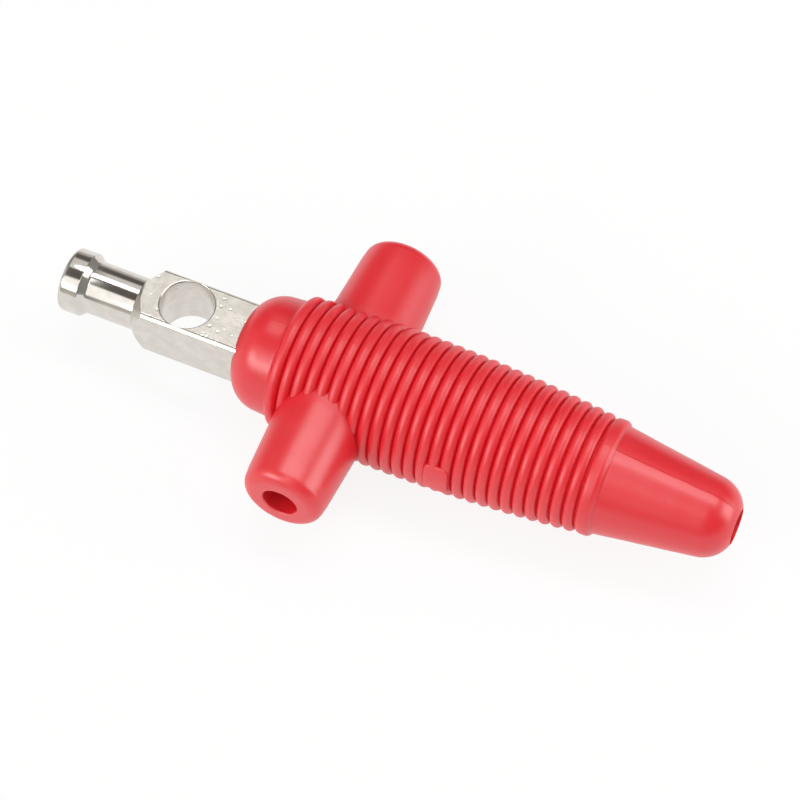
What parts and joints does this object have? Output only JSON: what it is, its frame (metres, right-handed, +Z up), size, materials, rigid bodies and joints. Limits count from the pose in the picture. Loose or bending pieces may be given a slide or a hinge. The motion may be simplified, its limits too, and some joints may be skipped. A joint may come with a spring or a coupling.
{
  "type": "banana plug",
  "caption": "Banana plug with a headed pin, a square bar with a cross hole, an inner clamp screw and a ribbed sleeve with rear and side cable entries.",
  "frame": {"origin": "on the plug's axis, where the axis of the cross hole meets it", "axes": "+X along the plug from the tip to the tail, +Y along the side cable entries, away from the bare pad, +Z up along the cross hole"},
  "size_m": [0.0531, 0.0228, 0.0106],
  "materials": {
    "nickel": "brass with bright nickel plating",
    "steel": "plated",
    "red_plastic": "soft satin moulding"
  },
  "bodies": {
    "contact": {"contact_bar": "nickel"},
    "screw": {"clamp_screw": "steel"},
    "sleeve": {"insulating_sleeve": "red_plastic"}
  },
  "joints": [
    {"name": "sleeve_slide", "type": "slide", "parent": "contact", "child": "sleeve", "axis": [1, 0, 0], "range_m": [0, 0.0094]},
    {"name": "screw_travel", "type": "slide", "parent": "contact", "child": "screw", "axis": [0, 0, -1], "range_m": [0, 0.0008]}
  ]
}
